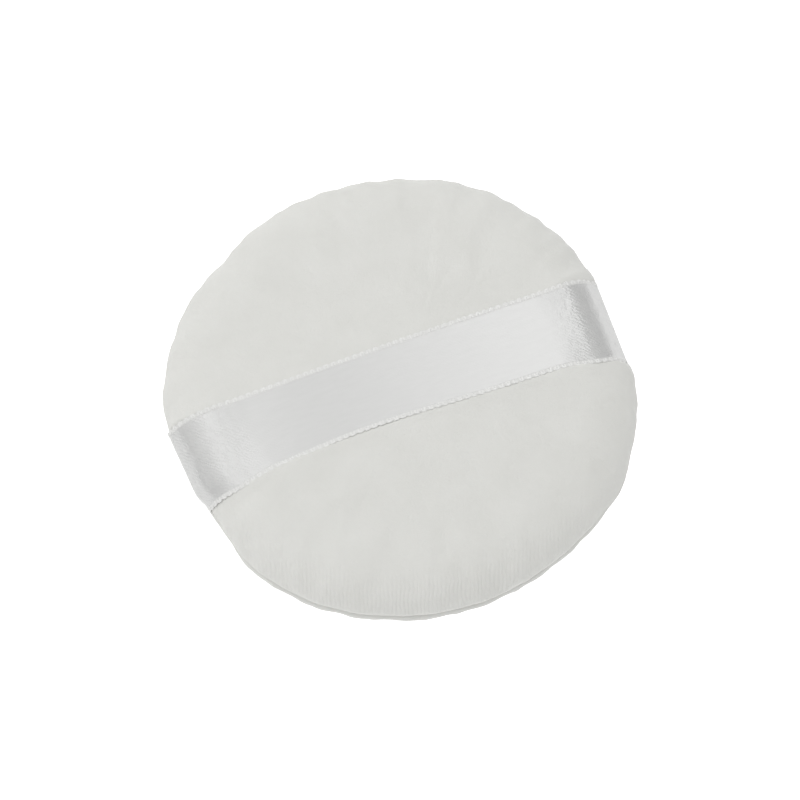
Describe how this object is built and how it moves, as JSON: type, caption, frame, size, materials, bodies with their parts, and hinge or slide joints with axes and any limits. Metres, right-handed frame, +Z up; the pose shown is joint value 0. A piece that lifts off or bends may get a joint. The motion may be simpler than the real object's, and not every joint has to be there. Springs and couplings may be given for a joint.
{
  "type": "powder puff",
  "caption": "Round velour powder puff: a soft sewn pad with a sponge core and a satin ribbon strap across its back for the fingers.",
  "frame": {"origin": "middle of the flat spot of the powder face, which the puff rests on", "axes": "+X along the strap, +Y across it, +Z up out of the back, through the strap"},
  "size_m": [0.0774, 0.08, 0.0143],
  "materials": {
    "velour": "matte short cut pile, off-white",
    "sponge": "matte open-cell foam, cream",
    "satin_ribbon": "satin weave with a soft sheen, white",
    "thread": "twisted polyester sewing thread, white"
  },
  "bodies": {
    "pad": {"back_cover": "velour", "face_cover": "velour", "foam_core": "sponge", "strap_leg_right": "satin_ribbon", "strap_leg_left": "satin_ribbon", "seam_needle_thread": "thread", "seam_bobbin_thread": "thread", "closing_thread": "thread", "strap_tack_right": "thread", "strap_tack_left": "thread"},
    "strap": {"strap_span": "satin_ribbon"}
  },
  "joints": [
    {"name": "strap_lift", "type": "slide", "parent": "pad", "child": "strap", "axis": [0, 0, 1], "range_m": [0, 0.005], "deforming": ["strap_leg_right", "strap_leg_left"]}
  ]
}
